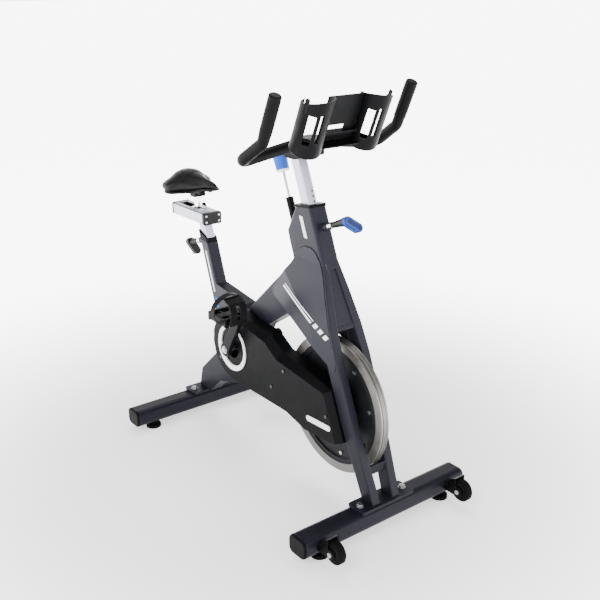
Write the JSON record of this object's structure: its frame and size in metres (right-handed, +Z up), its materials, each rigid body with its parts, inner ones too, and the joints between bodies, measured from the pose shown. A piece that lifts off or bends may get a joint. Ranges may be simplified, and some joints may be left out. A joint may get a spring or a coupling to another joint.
{
  "type": "indoor spin bike",
  "caption": "Indoor spin bike with enclosed belt drive, front flywheel, leaning fork, adjustable saddle and handlebar, bottle tray, resistance knob and transport wheels.",
  "frame": {"origin": "on the floor, at the middle of the bike's length and width", "axes": "+X forward, +Y to the rider's left, +Z up"},
  "size_m": [1.1568, 0.6, 1.1967],
  "materials": {
    "frame_paint": "satin",
    "guard_black": "fine texture",
    "black_plastic": "satin",
    "black_rubber": "matte",
    "silver_tube": "satin anodised",
    "chrome": "polished",
    "steel": "brushed",
    "wheel_rim": "turned",
    "wheel_disc": "satin",
    "trim_white": "satin",
    "knob_blue": "satin",
    "paddle_navy": "satin",
    "saddle_skin": "soft grain",
    "brake_pad": "felt"
  },
  "bodies": {
    "frame": {"head_tube": "frame_paint", "fork_leg_left": "frame_paint", "fork_leg_right": "frame_paint", "fork_cover": "frame_paint", "side_panel_left": "frame_paint", "side_panel_right": "frame_paint", "brace_tube": "frame_paint", "main_beam": "frame_paint", "crank_bearings": "steel", "rear_leg": "frame_paint", "seat_tube": "frame_paint", "tube_collars": "black_plastic", "base_flanges": "frame_paint", "front_stabiliser": "frame_paint", "rear_stabiliser": "frame_paint", "stabiliser_caps": "black_plastic", "fixed_bolts": "steel", "caster_brackets": "black_plastic", "guard_outer": "guard_black", "guard_inner": "guard_black", "guard_trim": "trim_white", "drive_belt": "black_rubber", "flywheel_axle": "steel", "resistance_sleeve": "black_plastic"},
    "flywheel": {"flywheel_rim": "wheel_rim", "flywheel_disc": "wheel_disc", "flywheel_hub": "steel", "flywheel_bolts": "steel"},
    "crankset": {"crank_spindle": "steel", "crank_arm_left": "wheel_disc", "crank_arm_right": "wheel_disc"},
    "pedal_assembly_left": {"pedal_left": "black_plastic", "toe_cage_left": "black_plastic"},
    "pedal_assembly_right": {"pedal_right": "black_plastic", "toe_cage_right": "black_plastic"},
    "caster_left": {"caster_wheel_left": "black_rubber"},
    "caster_right": {"caster_wheel_right": "black_rubber"},
    "level_front_left": {"foot_front_left": "black_rubber"},
    "level_front_right": {"foot_front_right": "black_rubber"},
    "level_rear_left": {"foot_rear_left": "black_rubber"},
    "level_rear_right": {"foot_rear_right": "black_rubber"},
    "seat_mast": {"seat_post": "silver_tube", "slider_beam": "silver_tube", "slider_caps": "black_plastic"},
    "seat_slider": {"slider_carriage": "chrome"},
    "saddle": {"saddle_base": "black_plastic", "saddle_cushion": "saddle_skin"},
    "seat_slider_knob": {"slider_knob": "black_plastic"},
    "bar_mast": {"handlebar_post": "silver_tube", "handlebar": "black_plastic", "bar_grips": "black_rubber", "bar_clamp": "black_plastic", "bottle_tray": "black_plastic"},
    "head_pull_pin": {"head_pin": "chrome"},
    "head_pull_paddle": {"head_paddle": "paddle_navy"},
    "seat_pull_pin": {"seat_pin": "chrome"},
    "seat_pull_paddle": {"seat_paddle": "black_plastic"},
    "brake": {"resistance_rod": "steel", "brake_shoe": "brake_pad"},
    "resistance_dial": {"resistance_knob": "knob_blue"}
  },
  "joints": [
    {"name": "flywheel_spin", "type": "hinge", "parent": "frame", "child": "flywheel", "pos_m": [0.258, 0, 0.298], "axis": [0, 1, 0], "continuous": true},
    {"name": "crank_spin", "type": "hinge", "parent": "frame", "child": "crankset", "pos_m": [-0.147, 0, 0.355], "axis": [0, 1, 0], "continuous": true},
    {"name": "pedal_spin_right", "type": "hinge", "parent": "crankset", "child": "pedal_assembly_right", "pos_m": [-0.05609, 0, 0.5057], "axis": [0, 1, 0], "continuous": true},
    {"name": "pedal_spin_left", "type": "hinge", "parent": "crankset", "child": "pedal_assembly_left", "pos_m": [-0.23791, 0, 0.2043], "axis": [0, 1, 0], "continuous": true},
    {"name": "caster_roll_right", "type": "hinge", "parent": "frame", "child": "caster_right", "pos_m": [0.543, -0.238, 0.057], "axis": [0, 1, 0], "continuous": true},
    {"name": "caster_roll_left", "type": "hinge", "parent": "frame", "child": "caster_left", "pos_m": [0.543, 0.238, 0.057], "axis": [0, 1, 0], "continuous": true},
    {"name": "level_front_left_screw", "type": "slide", "parent": "frame", "child": "level_front_left", "axis": [0, 0, -1], "range_m": [0, 0.01]},
    {"name": "level_front_right_screw", "type": "slide", "parent": "frame", "child": "level_front_right", "axis": [0, 0, -1], "range_m": [0, 0.01]},
    {"name": "level_rear_left_screw", "type": "slide", "parent": "frame", "child": "level_rear_left", "axis": [0, 0, -1], "range_m": [0, 0.01]},
    {"name": "level_rear_right_screw", "type": "slide", "parent": "frame", "child": "level_rear_right", "axis": [0, 0, -1], "range_m": [0, 0.01]},
    {"name": "seat_height", "type": "slide", "parent": "frame", "child": "seat_mast", "axis": [-0.3345, 0, 0.9424], "range_m": [-0.02, 0.16]},
    {"name": "seat_fore_aft", "type": "slide", "parent": "seat_mast", "child": "seat_slider", "axis": [1, 0, 0], "range_m": [-0.06, 0.015]},
    {"name": "saddle_turn", "type": "hinge", "parent": "seat_slider", "child": "saddle", "pos_m": [-0.465, 0, 0.75], "axis": [0, 0, 1], "range_deg": [-12, 12]},
    {"name": "slider_knob_turn", "type": "hinge", "parent": "seat_mast", "child": "seat_slider_knob", "pos_m": [-0.52, 0.04, 0.712], "axis": [0, 1, 0], "range_deg": [0, 270]},
    {"name": "handlebar_height", "type": "slide", "parent": "frame", "child": "bar_mast", "axis": [-0.373, 0, 0.9278], "range_m": [-0.1, 0.05]},
    {"name": "head_pin_pull", "type": "slide", "parent": "frame", "child": "head_pull_pin", "axis": [0.9278, 0, 0.373], "range_m": [0, 0.008], "stiffness_N_per_m": 2000, "springref_m": -0.002},
    {"name": "head_paddle_turn", "type": "hinge", "parent": "head_pull_pin", "child": "head_pull_paddle", "pos_m": [0.28277, 0, 0.8433], "axis": [0.9278, 0, 0.373], "range_deg": [-25, 25]},
    {"name": "seat_pin_pull", "type": "slide", "parent": "frame", "child": "seat_pull_pin", "axis": [-0.9424, 0, -0.3345], "range_m": [0, 0.008], "stiffness_N_per_m": 2000, "springref_m": -0.002},
    {"name": "seat_paddle_turn", "type": "hinge", "parent": "seat_pull_pin", "child": "seat_pull_paddle", "pos_m": [-0.50333, 0, 0.60124], "axis": [-0.9424, 0, -0.3345], "range_deg": [-25, 25]},
    {"name": "brake_press", "type": "slide", "parent": "frame", "child": "brake", "axis": [0.373, 0, -0.9278], "range_m": [0, 0.0045], "stiffness_N_per_m": 4000, "springref_m": -0.004},
    {"name": "resistance_turn", "type": "hinge", "parent": "brake", "child": "resistance_dial", "pos_m": [-0.005, 0, 0.964], "axis": [-0.373, 0, 0.9278], "range_deg": [0, 300]}
  ],
  "couplings": [
    {"joint": "crank_spin", "follows": "flywheel_spin", "ratio": 0.27174}
  ]
}
